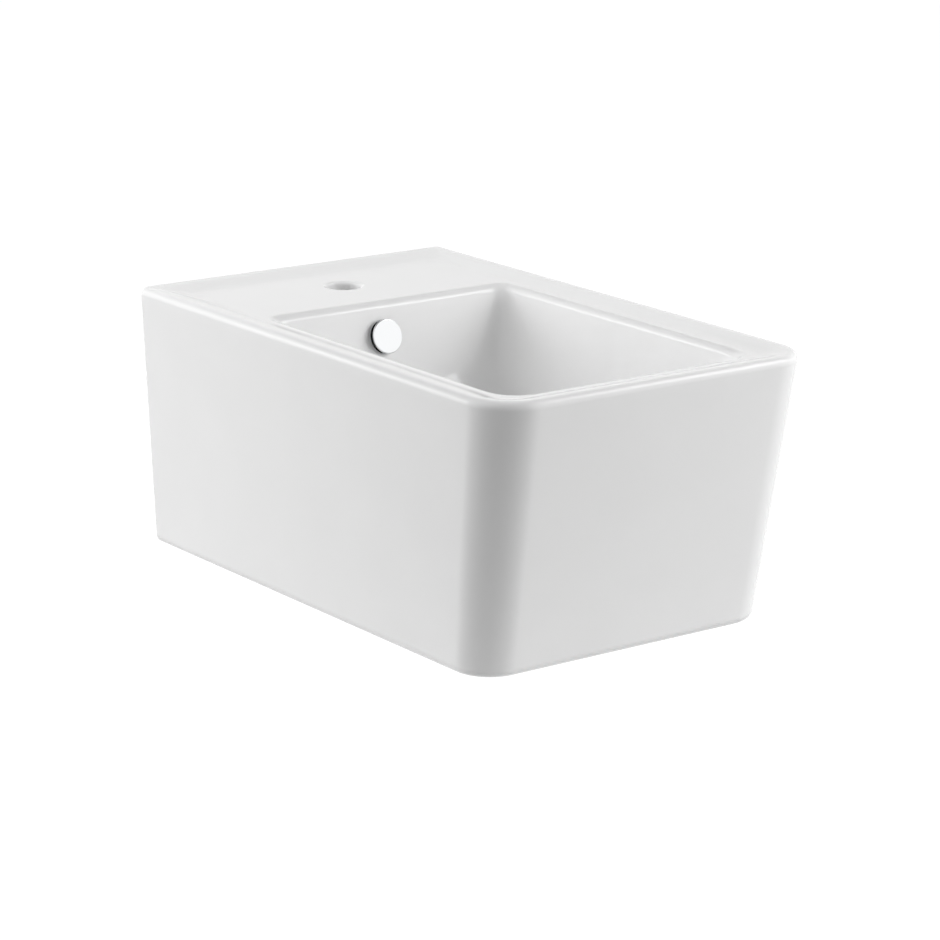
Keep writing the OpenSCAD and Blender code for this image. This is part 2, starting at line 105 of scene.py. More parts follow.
# Materials
def newMaterial(name):
    material = bpy.data.materials.new(name)
    material.use_nodes = True
    material.node_tree.nodes.clear()
    return material, material.node_tree


def objectNoise(tree, size, detail=2.0, stretch=(1, 1, 1)):  # size is one noise cell in mm
    place = addNode(tree, "ShaderNodeTexCoord")
    mapping = addNode(tree, "ShaderNodeMapping", None,
                      {"Vector": place.outputs["Object"], "Scale": stretch})
    return addNode(tree, "ShaderNodeTexNoise", None,
                   {"Vector": mapping.outputs["Vector"], "Scale": 1 / (size * mm), "Detail": detail})


def clouded(name, look):  # two close colours in soft clouds, over a fine relief where the look has one
    material, tree = newMaterial(name)
    stretch = look.get("stretch", (1, 1, 1))
    clouds = objectNoise(tree, look["cloudSize"], look.get("cloudDetail", 2.0), stretch)
    colour = addNode(tree, "ShaderNodeMix", {"data_type": "RGBA"},
                     {"Factor": clouds.outputs["Fac"], 6: linear(look["colour"]), 7: linear(look["cloud"])})
    inputs = {"Base Color": colour.outputs[2], "Roughness": look["roughness"]}
    for socket, key in (("Metallic", "metallic"), ("IOR", "ior")):
        if key in look:
            inputs[socket] = look[key]
    if "relief" in look:
        grain = objectNoise(tree, look["grainSize"], look.get("grainDetail", 2.0), stretch)
        bump = addNode(tree, "ShaderNodeBump", None,
                       {"Height": grain.outputs["Fac"], "Distance": look["relief"] * mm})
        inputs["Normal"] = bump.outputs["Normal"]
    shader = addNode(tree, "ShaderNodeBsdfPrincipled", None, inputs)
    addNode(tree, "ShaderNodeOutputMaterial", None, {"Surface": shader.outputs[0]})
    return material


def chromedBrass():  # polished brass under bright chrome: a mirror with hair-fine polishing marks
    look = {"plate": "#E6E7E8", "roughness": 0.06, "hazed": 0.12, "hazeSize": 6, "hazeDetail": 3.0,
            "clearBelow": 0.35, "hazedAbove": 0.8}
    material, tree = newMaterial("polishedChromePlate")
    haze = objectNoise(tree, look["hazeSize"], look["hazeDetail"])
    spread = addNode(tree, "ShaderNodeMapRange", None,
                     {"Value": haze.outputs["Fac"], "From Min": look["clearBelow"],
                      "From Max": look["hazedAbove"], "To Min": look["roughness"], "To Max": look["hazed"]})
    shader = addNode(tree, "ShaderNodeBsdfPrincipled", None,
                     {"Base Color": linear(look["plate"]), "Metallic": 1.0,
                      "Roughness": spread.outputs["Result"]})
    addNode(tree, "ShaderNodeOutputMaterial", None, {"Surface": shader.outputs[0]})
    return material


# Vitreous china under a sprayed and fired white glaze: hard, wet-looking, faintly wavy
china = clouded("glazedVitreousChina", {
    "colour": "#ECECEC", "cloud": "#E7E7E7", "cloudSize": 90, "grainSize": 16, "grainDetail": 1.0,
    "relief": 0.004, "roughness": 0.07, "ior": 1.52})

chrome = chromedBrass()

# Bare machined brass: warm, with fine turning marks round its axis
brass = clouded("machinedBrass", {
    "colour": "#C9A35A", "cloud": "#A8834A", "cloudSize": 0.9, "grainSize": 0.9, "stretch": (0.05, 0.05, 1),
    "relief": 0.02, "roughness": 0.32, "metallic": 1.0})

# Zinc electroplated on steel: blue-grey, satin, slightly blotched
zinc = clouded("zincPlatedSteel", {
    "colour": "#B9BDC2", "cloud": "#9EA3A8", "cloudSize": 5, "cloudDetail": 4.0, "roughness": 0.34,
    "metallic": 1.0})

# Moulded EPDM rubber: matt black with a fine bloom
rubber = clouded("mouldedRubber", {
    "colour": "#1C1C1D", "cloud": "#2B2B2C", "cloudSize": 4, "grainSize": 0.6, "relief": 0.03,
    "roughness": 0.7})

# Injection-moulded acetal or nylon: soft sheen, faint flow clouds
acetal = {"cloudSize": 8, "grainSize": 0.8, "relief": 0.01, "roughness": 0.42}
whitePlastic = clouded("mouldedWhiteAcetal", {**acetal, "colour": "#E3E2DD", "cloud": "#D8D7D1"})
orangePlastic = clouded("mouldedOrangeAcetal", {**acetal, "colour": "#D2762B", "cloud": "#C4681F"})

madeOf = ((china, ("ceramic_body",)),
          (chrome, ("overflow_ring", "overflow_cap", "waste_body", "plug_cover")),
          (rubber, ("overflow_gasket", "waste_top_gasket", "waste_cone_seal", "plug_seal", "rubber_washers")),
          (whitePlastic, ("waste_slip_washer", "cartridge_housing", "cartridge_collar", "stud_sleeves")),
          (orangePlastic, ("index_ring",)),
          (brass, ("waste_back_nut", "plug_stem")),
          (zinc, ("plug_spring", "wall_studs", "steel_washers", "stud_nuts")))
for finish, nodeNames in madeOf:
    for nodeName in nodeNames:
        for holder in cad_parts[nodeName].material_slots:
            holder.material = finish
print("materials made")


# Geometry Nodes: what every tree starts with, is worked out by and ends with
def newTree(name, result, inputs):
    tree = bpy.data.node_groups.new(name, "GeometryNodeTree")
    for kind, inputNames in inputs.items():
        for inputName in inputNames:
            tree.interface.new_socket(inputName, in_out="INPUT", socket_type="NodeSocket" + kind)
    tree.interface.new_socket(result, in_out="OUTPUT", socket_type="NodeSocketGeometry")
    fields = {socket.name: socket for socket in addNode(tree, "NodeGroupInput").outputs if socket.name}
    fields["index"] = addNode(tree, "GeometryNodeInputIndex").outputs[0]
    return tree, fields


def addRows(tree, fields, rows):  # a node for each row: its name, its kind or operation, its inputs in order
    for name, kind, *values in rows:
        settings = None
        if kind.isupper():
            kind, settings = "ShaderNodeMath", {"operation": kind}
        inputs = {i: fields[value] if isinstance(value, str) else value for i, value in enumerate(values)}
        fields[name] = addNode(tree, kind, settings, inputs).outputs[0]


def weldedSheet(tree, fields, rows, columns, place):  # a grid of points put in place, its seams joined
    grid = addNode(tree, "GeometryNodeMeshGrid", None, {"Vertices X": rows, "Vertices Y": columns})
    shaped = addNode(tree, "GeometryNodeSetPosition", None,
                     {"Geometry": grid.outputs["Mesh"], "Position": place})
    welded = addNode(tree, "GeometryNodeMergeByDistance", None,
                     {"Geometry": shaped.outputs[0], "Distance": fields["Weld distance"]})
    return welded.outputs[0]


def finishTree(tree, fields, geometry):
    real = addNode(tree, "GeometryNodeRealizeInstances", None, {"Geometry": geometry})
    painted = addNode(tree, "GeometryNodeSetMaterial", None,
                      {"Geometry": real.outputs[0], "Material": fields["Finish"]})
    addNode(tree, "NodeGroupOutput", None, {0: painted.outputs[0]})
    return tree


def skinTree():  # a skin stretched over a row of closed sections, the last joined to the first
    tree, fields = newTree("skinOverSections", "Skin", {
        "Geometry": ["Sections"], "Int": ["Section count", "Points around"], "Float": ["Weld distance"],
        "Material": ["Finish"]})
    addRows(tree, fields, (
        ("rows", "ADD", "Section count", 1.0), ("columns", "ADD", "Points around", 1.0),
        ("rowShare", "DIVIDE", "index", "columns"), ("row", "FLOOR", "rowShare"),
        ("rowWrapped", "MODULO", "row", "Section count"), ("column", "MODULO", "index", "columns"),
        ("columnWrapped", "MODULO", "column", "Points around"),
        ("source", "MULTIPLY_ADD", "rowWrapped", "Points around", "columnWrapped"),
        ("place", "GeometryNodeInputPosition")))
    sampled = addNode(tree, "GeometryNodeSampleIndex", {"data_type": "FLOAT_VECTOR", "domain": "POINT"},
                      {"Geometry": fields["Sections"], "Value": fields["place"], "Index": fields["source"]})
    sheet = weldedSheet(tree, fields, fields["rows"], fields["columns"], sampled.outputs[0])
    return finishTree(tree, fields, sheet)


def setInputs(modifier, values):
    sockets = {item.name: item.identifier for item in modifier.node_group.interface.items_tree
               if item.item_type == "SOCKET" and item.in_out == "INPUT"}
    for name, value in values.items():
        modifier[sockets[name]] = value


def applied(obj):  # the evaluated object as a plain mesh, without modifiers
    view = bpy.context.evaluated_depsgraph_get()
    mesh = bpy.data.meshes.new_from_object(obj.evaluated_get(view), depsgraph=view)
    name = obj.name
    bpy.data.objects.remove(obj)
    return show(bpy.data.objects.new(name, mesh))


def outwards(obj):
    shape = bmesh.new()
    shape.from_mesh(obj.data)
    bmesh.ops.remove_doubles(shape, verts=shape.verts, dist=samePoint)
    bmesh.ops.recalc_face_normals(shape, faces=shape.faces)
    if shape.calc_volume(signed=True) < 0:
        bmesh.ops.reverse_faces(shape, faces=shape.faces)
    shape.to_mesh(obj.data)
    shape.free()
    return obj


def skinned(name, sections, finish):
    curve = bpy.data.curves.new(name, "CURVE")
    curve.dimensions = "3D"
    for points in sections:
        spline = curve.splines.new("POLY")
        spline.points.add(len(points) - 1)
        spline.points.foreach_set("co", [c for x, y, z in points for c in (x * mm, y * mm, z * mm, 1)])
        spline.use_cyclic_u = True
    obj = show(bpy.data.objects.new(name, curve))
    modifier = obj.modifiers.new("skin", "NODES")
    modifier.node_group = skinTree()
    setInputs(modifier, {"Section count": len(sections), "Points around": len(sections[0]),
                         "Weld distance": weldDistance * mm, "Finish": finish})
    return outwards(applied(obj))


# The ceramic: every section is a rectangle with its own two corner radii, given in mm
body = {"width": 360, "length": 570, "height": 257, "sideTaper": 14.5, "frontTaper": 41,
        "cornerTop": 46, "cornerBottom": 38, "edge": 8, "wall": 12, "rim": 70, "rearPlate": 14,
        "deckThickness": 13, "lipWidth": 34, "lipThickness": 12, "lipCorner": 14, "rearEdge": 2,
        "hollowCorner": 8, "hollowChamfer": 6}
bowl = {"rimWidth": 44, "drop": 5, "lipRadius": 7, "deckDepth": 161, "depth": 128, "frontCorner": 25,
        "rearCorner": 10, "rearSlope": 16.5, "sideSlope": 8, "frontSlope": 10, "floorFall": 8,
        "sideCurve": 55, "rearCurve": 30, "frontCurve": 60, "curvePower": 4, "cornerGrowth": 0.6,
        "leastFlat": 0.5, "rearFall": 37, "soften": 0.12, "wasteBack": 290, "floorRing": 34, "seat": 33,
        "seatDepth": 5.5, "seatEase": 0.3, "seatEdge": 1}
waste = {"hole": 23, "gallery": 29, "galleryTop": -73.25, "galleryBottom": -91.25, "boss": 42,
         "bossBottom": -103, "bossChamfer": 2, "bossFoot": 6, "bossFootRise": 4}
softCorner = {"first": 0.35, "second": 0.18, "room": 0.97}
# How finely the skin is divided, and at which shares of their height the outer and inner wall have a section
steps = {"corner": 20, "cornerFine": 16, "side": 40, "end": 24, "underEdge": 8, "topEdge": 10, "rim": 24,
         "rimSpread": 1.15, "lip": 10, "wall": 40, "floor": 10, "easing": 6, "shell": 24, "shellSpread": 1.6,
         "bossToShell": 5, "ceiling": 8, "cutEdge": 10, "roundFlat": 0.01,
         "outside": (0.01, 0.04, 0.12, 0.25, 0.4, 0.55, 0.7, 0.82, 0.92, 0.97),
         "inside": (0, 0.02, 0.25, 0.5, 0.75, 1)}

base = body["rim"] - body["height"]
deck = body["rim"] - bowl["drop"]
wallTop = deck - bowl["lipRadius"]
floorLevel = body["rim"] - bowl["depth"]
basin = floorLevel + bowl["floorFall"]
hollowTop = deck - body["deckThickness"]
rimHalf = body["width"] / 2 - bowl["rimWidth"]
bowlFront = -(body["length"] - bowl["rimWidth"])
lean = {side: math.tan(math.radians(bowl[side + "Slope"])) for side in ("rear", "side", "front")}


def cornerCurve(softness):  # a quarter turn of unit radius, whose curvature swells from nothing when soft
    x = y = 0.0
    points, fine = [(0.0, 0.0)], steps["cornerFine"] * steps["corner"]
    for j in range(fine):
        t = (j + 0.5) / fine
        turn = math.pi / 2 * (t - softness * math.sin(2 * math.pi * t) / (2 * math.pi))
        x, y = x - math.sin(turn) / fine, y + math.cos(turn) / fine
        if (j + 1) % steps["cornerFine"] == 0:
            points.append((x, y))
    middle = points[len(points) // 2]
    length = (math.sqrt(2) - 1) / math.hypot(middle[0], y - middle[1])
    return [(1 + px * length, 1 + (py - y) * length) for px, py in points]


def softnessFor(half, radius):  # a corner of softness s takes up 1 + first s + second s^2 radii
    first, second = softCorner["first"], softCorner["second"]
    spare = max(0, softCorner["room"] * half / radius - 1)
    return max(0.0, min(1.0, (math.sqrt(first ** 2 + 4 * second * spare) - first) / (2 * second)))


def section(half, rear, front, rearRadius, frontRadius, z, soft=False):
    corners = []
    for k, (side, edge, radius) in enumerate(((1, rear, rearRadius), (-1, rear, rearRadius),
                                              (-1, front, frontRadius), (1, front, frontRadius))):
        c, s = ((1, 0), (0, 1), (-1, 0), (0, -1))[k]
        x, y = side * (half - radius), edge + (radius if k > 1 else -radius)
        curve = cornerCurve(softnessFor(half, radius) if soft else 0.0)
        corners.append([(x + radius * (u * c - v * s), y + radius * (u * s + v * c)) for u, v in curve])
    points = []
    for k, corner in enumerate(corners):
        last, goal = corner[-1], corners[(k + 1) % 4][0]
        count = steps["side"] if k % 2 else steps["end"]
        points += corner + [(last[0] + (goal[0] - last[0]) * i / count,
                             last[1] + (goal[1] - last[1]) * i / count) for i in range(1, count)]
    return [(x, y, z) for x, y in points]


def skirtHalf(z):
    return body["width"] / 2 - body["sideTaper"] * (body["rim"] - z) / body["height"]


def skirtFront(z):
    return body["frontTaper"] * (body["rim"] - z) / body["height"] - body["length"]


def skirtCorner(z):
    share = (z - base) / body["height"]
    return body["cornerBottom"] + (body["cornerTop"] - body["cornerBottom"]) * share


def skirtSection(z, inset, rear=0.0, rearRadius=None):
    return section(skirtHalf(z) - inset, rear, skirtFront(z) + inset, rearRadius or body["rearEdge"],
                   skirtCorner(z) - inset, z)


def wallCurve(z):
    u = max(0.0, min(1.0, (wallTop - z) / (wallTop - basin)))
    return 1 - math.sqrt(max(0.0, 1 - u ** bowl["curvePower"]))


def bowlSection(z, grow=0.0, drop=0.0):
    flare = 0.0 if z <= wallTop else bowl["lipRadius"] - math.sqrt(
        max(0.0, bowl["lipRadius"] ** 2 - (z - wallTop) ** 2))
    depth, g, curve = deck - z, grow + flare, wallCurve(z)
    half = rimHalf - depth * lean["side"] - bowl["sideCurve"] * curve
    rear = -bowl["deckDepth"] - depth * lean["rear"] - bowl["rearCurve"] * curve
    front = bowlFront + depth * lean["front"] + bowl["frontCurve"] * curve
    rearRadius, frontRadius = (min(bowl[corner] + bowl["cornerGrowth"] * depth, half - bowl["leastFlat"]) + g
                               for corner in ("rearCorner", "frontCorner"))
    return section(half + g, rear + g, front - g, rearRadius, frontRadius, z - drop, soft=True)


def roundSection(radius, z):  # its straight parts are only a hair long
    corner = radius - steps["roundFlat"]
    return section(radius, radius - bowl["wasteBack"], -radius - bowl["wasteBack"], corner, corner, z)


def between(a, b, share):
    return [tuple(p + (q - p) * share for p, q in zip(u, v)) for u, v in zip(a, b)]


def dished(points):  # the rim and deck fall smoothly from the outer edge to the bowl
    half, corner = skirtHalf(body["rim"]), skirtCorner(body["rim"])
    out = []
    for x, y, z in points:
        qx, qy = abs(x) - (half - corner), -y - (body["length"] - corner)
        reach = math.hypot(max(qx, 0), max(qy, 0)) + min(max(qx, qy), 0)
        side = (corner - reach - body["edge"]) / (bowl["rimWidth"] - bowl["lipRadius"] - body["edge"])
        rear = -y / bowl["rearFall"]
        blend = max(bowl["soften"] - abs(side - rear), 0) / bowl["soften"]
        t = max(0.0, min(1.0, min(side, rear) - blend * blend * bowl["soften"] / 4))
        out.append((x, y, body["rim"] - bowl["drop"] * t * t * (3 - 2 * t)))
    return out


def smoothed(sections, first, last, passes):  # eases a crease between neighbouring sections
    for _ in range(passes):
        eased = [between(between(sections[i - 1], sections[i + 1], 0.5), sections[i], 0.5)
                 for i in range(first, last)]
        sections[first:last] = eased
    return sections


def outerSections():  # up the skirt, over the rim's edge and across the rim to the bowl
    edge = body["edge"]
    low, high = base + edge, body["rim"] - edge
    rows = [skirtSection(z, inset) for inset, z in arc(edge, low, edge, -90, -180, steps["underEdge"])]
    rows += [skirtSection(low + (high - low) * share, 0) for share in steps["outside"]]
    rows += [skirtSection(z, inset) for inset, z in arc(edge, high, edge, 180, 90, steps["topEdge"])]
    crest, lip, count = rows[-1], bowlSection(deck), steps["rim"]
    rows += [dished(between(crest, lip, (i / count) ** steps["rimSpread"])) for i in range(1, count)]
    return rows + [lip]


def bowlSections():  # over the bowl's lip, down its walls and across its floor to the waste
    rows = [bowlSection(wallTop + bowl["lipRadius"] * math.sin(math.radians(90 * i / steps["lip"])))
            for i in range(steps["lip"] - 1, -1, -1)]
    start = len(rows)
    for i in range(1, steps["wall"] + 1):
        sunk = math.sin(math.radians(90 * i / steps["wall"])) ** (2 / bowl["curvePower"])
        rows.append(bowlSection(wallTop - (wallTop - basin) * sunk))
    foot, drain = rows[-1], roundSection(bowl["floorRing"], floorLevel)
    rows += [between(foot, drain, i / steps["floor"]) for i in range(1, steps["floor"] + 1)]
    return smoothed(rows, start + steps["wall"] // 2, len(rows) - 1, steps["easing"])


def wasteSections():  # down the waste's seat, hole and gallery and up the outside of its boss
    seatLevel, shellLevel = floorLevel - bowl["seatDepth"], floorLevel - body["wall"]
    return [roundSection(radius, z) for radius, z in (
        (bowl["seat"] + bowl["seatEase"], floorLevel - bowl["seatEase"]),
        (bowl["seat"], floorLevel - bowl["seatEdge"]), (bowl["seat"], seatLevel),
        (waste["hole"], seatLevel), (waste["hole"], waste["galleryTop"]),
        (waste["gallery"], waste["galleryTop"]), (waste["gallery"], waste["galleryBottom"]),
        (waste["hole"], waste["galleryBottom"]), (waste["hole"], waste["bossBottom"]),
        (waste["boss"] - waste["bossChamfer"], waste["bossBottom"]),
        (waste["boss"], waste["bossBottom"] + waste["bossChamfer"]),
        (waste["boss"], shellLevel - waste["bossFootRise"]), (waste["boss"] + waste["bossFoot"], shellLevel))]


def innerSections(boss):  # from the boss under the bowl, along the deck and down inside the skirt
    under = [bowlSection(z, body["wall"], body["wall"] * wallCurve(z)) for z in
             (basin + (hollowTop - basin) * (i / steps["shell"]) ** steps["shellSpread"]
              for i in range(steps["shell"] + 1))]
    rows = [between(boss, under[0], i / steps["bossToShell"]) for i in range(1, steps["bossToShell"])] + under
    ceiling = skirtSection(hollowTop, body["wall"] + body["hollowChamfer"],
                           -body["rearPlate"] - body["hollowChamfer"], body["hollowCorner"])
    rows += [between(under[-1], ceiling, i / steps["ceiling"]) for i in range(1, steps["ceiling"])]
    rows.append(ceiling)
    lipTop, high = base + body["lipThickness"], hollowTop - body["hollowChamfer"]
    for share in steps["inside"]:
        rows.append(skirtSection(high + (lipTop - high) * share, body["wall"], -body["rearPlate"],
                                 body["hollowCorner"]))
    for z in (lipTop, base):
        rows.append(section(skirtHalf(base) - body["lipWidth"], -body["lipWidth"],
                            skirtFront(base) + body["lipWidth"], body["lipCorner"], body["lipCorner"], z))
    return rows


def ceramicSections():
    rows = outerSections() + bowlSections() + wasteSections()
    return rows + innerSections(rows[-1])


ceramic = skinned("ceramicShell", ceramicSections(), china)
print("ceramic skin:", len(ceramic.data.polygons), "faces")


def fromShape(name, shape):
    mesh = bpy.data.meshes.new(name)
    shape.to_mesh(mesh)
    shape.free()
    return bpy.data.objects.new(name, mesh)


def solid(name, rings, place=Matrix()):  # a closed skin over rings of points in mm, capped at both ends
    shape = bmesh.new()
    rings = [[shape.verts.new([c * mm for c in point]) for point in ring] for ring in rings]
    for a, b in zip(rings, rings[1:]):
        count = max(len(a), len(b))
        for i in range(count):
            j = (i + 1) % count
            corners = (a[i % len(a)], b[i % len(b)], b[j % len(b)], a[j % len(a)])
            shape.faces.new(list(dict.fromkeys(corners)))  # a ring of one point is a tip
    for ring in (rings[0], rings[-1]):
        if len(ring) > 1:
            shape.faces.new(ring)
    bmesh.ops.transform(shape, matrix=place, verts=shape.verts)
    bmesh.ops.recalc_face_normals(shape, faces=shape.faces)
    return fromShape(name, shape)


def turned(name, profile, segments=96, place=Matrix()):  # profile in mm as (radius, z), from axis to axis
    turns = [2 * math.pi * i / segments for i in range(segments)]
    return solid(name, [[(radius * math.cos(t), radius * math.sin(t), z) for t in (turns if radius else [0])]
                        for radius, z in profile], place)


def column(radius, low, high):
    return [(0, low), (radius, low), (radius, high), (0, high)]


def rod(name, start, end, radius, segments=72):
    axis = Vector(end) - Vector(start)
    place = Matrix.Translation(Vector(start) * mm) @ axis.to_track_quat("Z", "Y").to_matrix().to_4x4()
    return turned(name, column(radius, 0, axis.length), segments, place)


def knob(name, centre, radius, segments=48, bands=15):  # a ball, whose bands end short of its two tips
    last = 90 - 90 / bands
    return turned(name, [(0, -radius)] + arc(0, 0, radius, -last, last, bands - 1) + [(0, radius)], segments,
                  Matrix.Translation(Vector(centre) * mm))


# What is added to and cut from the ceramic
fixing = {"spacing": 180, "boss": 28, "depth": 30, "bore": 10, "sunk": 2}
tapHole = {"radius": 17.5, "back": 83, "edge": 3}
overflow = {"x": -15, "drop": 32.5, "hole": 12, "holeReach": 12, "setback": 26, "boss": 20, "bore": 9,
            "wall": 8, "kneeSwell": 1, "seat": 17, "seatDepth": 0.2, "seatReach": 6}
pipeOpening = {"width": 200, "height": 120, "corner": 20, "depth": 48}

overflowPlace = Vector((overflow["x"],
                        overflow["seatDepth"] - bowl["deckDepth"] - overflow["drop"] * lean["rear"],
                        deck - overflow["drop"]))
overflowTurn = Matrix.Rotation(math.radians(90 - bowl["rearSlope"]), 4, "X")
overflowFrame = Matrix.Translation(overflowPlace * mm) @ overflowTurn
overflowAxis = overflowTurn @ Vector((0, 0, 1))
ductTop = overflowPlace - overflowAxis * overflow["setback"]
galleryLevel = (waste["galleryTop"] + waste["galleryBottom"]) / 2
ductKnee = Vector((overflow["x"], ductTop.y - (ductTop.z - galleryLevel) * lean["rear"], galleryLevel))
studPlaces = [side * fixing["spacing"] / 2 for side in (-1, 1)]


def ductRun(name, radius, reach):
    return [rod(name + "Down", ductTop, ductKnee, radius),
            knob(name + "Knee", ductKnee, radius + overflow["kneeSwell"]),
            rod(name + "Along", ductKnee, (0, reach - bowl["wasteBack"], galleryLevel), radius)]


def pipeCutter():  # the opening's outline in X and Z, pushed through the rear plate
    half, radius = pipeOpening["width"] / 2, pipeOpening["corner"]
    top = base + pipeOpening["height"] - radius
    right = [(half, base - proud)] + arc(half - radius, top, radius, 0, 90, steps["cutEdge"])
    outline = right + [(-x, z) for x, z in reversed(right)]
    return solid("pipeCutter", [[(x, y, z) for x, z in outline]
                                for y in (proud, proud - pipeOpening["depth"])])


def tapCutter():
    radius, edge, low, high = tapHole["radius"], tapHole["edge"], hollowTop - proud, deck + proud
    rounded = arc(radius + edge, deck - edge, edge, 180, 90, steps["cutEdge"])
    return turned("tapCutter", [(0, low), (radius, low)] + rounded + [(radius + edge, high), (0, high)],
                  place=Matrix.Translation((0, -tapHole["back"] * mm, 0)))


added = [rod("boss", (x, -fixing["sunk"], 0), (x, -fixing["depth"], 0), fixing["boss"]) for x in studPlaces]
added.append(rod("overflowBoss", overflowPlace - overflowAxis * (overflow["setback"] + overflow["hole"]),
                 overflowPlace - overflowAxis * body["wall"] / 2, overflow["boss"]))
added += ductRun("duct", overflow["bore"] + overflow["wall"], bowl["floorRing"])
cutters = [tapCutter(), pipeCutter()]
cutters += [rod("boltCutter", (x, proud, 0), (x, -fixing["depth"] - proud, 0), fixing["bore"])
            for x in studPlaces]
cutters.append(rod("overflowCutter", ductTop, overflowPlace + overflowAxis * overflow["holeReach"],
                   overflow["hole"]))
cutters.append(rod("seatCutter", overflowPlace, overflowPlace + overflowAxis * overflow["seatReach"],
                   overflow["seat"]))
cutters += ductRun("ductCutter", overflow["bore"], waste["hole"] + proud)


def combined(obj, parts, operation):
    for part in parts:
        show(part)
        modifier = obj.modifiers.new(part.name, "BOOLEAN")
        modifier.operation = operation
        modifier.solver = "MANIFOLD"
        modifier.object = part
    result = applied(obj)
    for part in parts:
        bpy.data.objects.remove(part)
    return result


ceramic = combined(ceramic, added, "UNION")
ceramic = combined(ceramic, cutters, "DIFFERENCE")
print("ceramic cut:", len(ceramic.data.polygons), "faces")


def smoothShaded(obj, angle):
    obj.data.shade_smooth()
    obj.data.set_sharp_from_angle(angle=math.radians(angle))
    modifier = obj.modifiers.new("evenNormals", "WEIGHTED_NORMAL")
    modifier.keep_sharp = True
    return applied(obj)


def piece(obj, bodyName, nodeNames, finish, angle=35):
    obj = smoothShaded(obj, angle)
    obj.data.materials.clear()
    obj.data.materials.append(finish)
    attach(obj, bodyName)
    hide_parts(*nodeNames)
    return obj


piece(ceramic, "basin", ["ceramic_body"], china)

# Overflow cap: a flat disc with eased edges on three legs, in the overflow's own frame
cap = {"radius": 16.5, "back": 6.6, "front": 8.8, "ease": 0.7, "leg": 1.6, "legPlace": 8.2, "legDepth": 8,
       "legSunk": 1, "sides": 128, "legSides": 24}


def easedDisc(radius, low, high, ease, count=6):  # a disc's profile with rounded edges
    lower = arc(radius - ease, low + ease, ease, -90, 0, count)
    upper = arc(radius - ease, high - ease, ease, 0, 90, count)
    return [(0, low)] + lower + upper + [(0, high)]


def joined(name, parts):
    shape = bmesh.new()
    for part in parts:
        shape.from_mesh(part.data)
        bpy.data.objects.remove(part)
    return fromShape(name, shape)


capParts = [turned("disc", easedDisc(cap["radius"], cap["back"], cap["front"], cap["ease"]), cap["sides"],
                   overflowFrame)]
legProfile = column(cap["leg"], -cap["legDepth"], cap["back"] + cap["legSunk"])
for x, y in arc(0, 0, cap["legPlace"], 90, 330, 2):
    capParts.append(turned("leg", legProfile, cap["legSides"],
                           overflowFrame @ Matrix.Translation((x * mm, y * mm, 0))))
piece(show(joined("overflowCap", capParts)), "basin", ["overflow_cap"], chrome)

# Plug: a low dome with a soft rim and a socket below
plug = {"radius": 32, "z": -49.2, "thickness": 5, "rim": 2.4, "rimEase": 0.6, "rimTurn": 75, "rimSteps": 5,
        "ease": 1.0, "easeSteps": 6, "domeReach": 0.965, "domeSteps": 24, "boss": 8, "bossHeight": 4,
        "socket": 3.25, "socketDepth": 2, "sides": 128}


def plugProfile():
    r, z, ease, rimEase = plug["radius"], plug["z"], plug["ease"], plug["rimEase"]
    crown = plug["thickness"] - plug["rim"]
    sphere = (r * r + crown * crown) / (2 * crown)
    dome = [(x, z + plug["thickness"] - sphere + math.sqrt(sphere * sphere - x * x))
            for x in (r * plug["domeReach"] * i / plug["domeSteps"] for i in range(plug["domeSteps"], 0, -1))]
    lower = arc(r - ease, z + ease, ease, -90, 0, plug["easeSteps"])
    upper = arc(r - rimEase, z + plug["rim"] - rimEase, rimEase, 0, plug["rimTurn"], plug["rimSteps"])
    return [(0, z + plug["socketDepth"]), (plug["socket"], z + plug["socketDepth"]),
            (plug["socket"], z - plug["bossHeight"]), (plug["boss"], z - plug["bossHeight"]),
            (plug["boss"], z)] + lower + upper + dome + [(0, z + plug["thickness"])]


wastePlace = Matrix.Translation((0, -bowl["wasteBack"] * mm, 0))
plugCover = turned("plugCover", plugProfile(), plug["sides"], wastePlace)
piece(show(plugCover), "plug", ["plug_cover"], chrome)
print("chrome pieces made")

# Wall studs: threaded over their whole length, and a little thinner on the room's side of their shoulder
studs = {"wallRadius": 5.98, "roomRadius": 5.74, "shoulder": -1.5, "shoulderLength": 0.5, "start": -57,
         "length": 117, "pitch": 1.75, "threadDepth": 0.95, "crestEnd": 0.06, "rootStart": 0.44,
         "chamfer": 1.2, "rows": 470, "columns": 25}


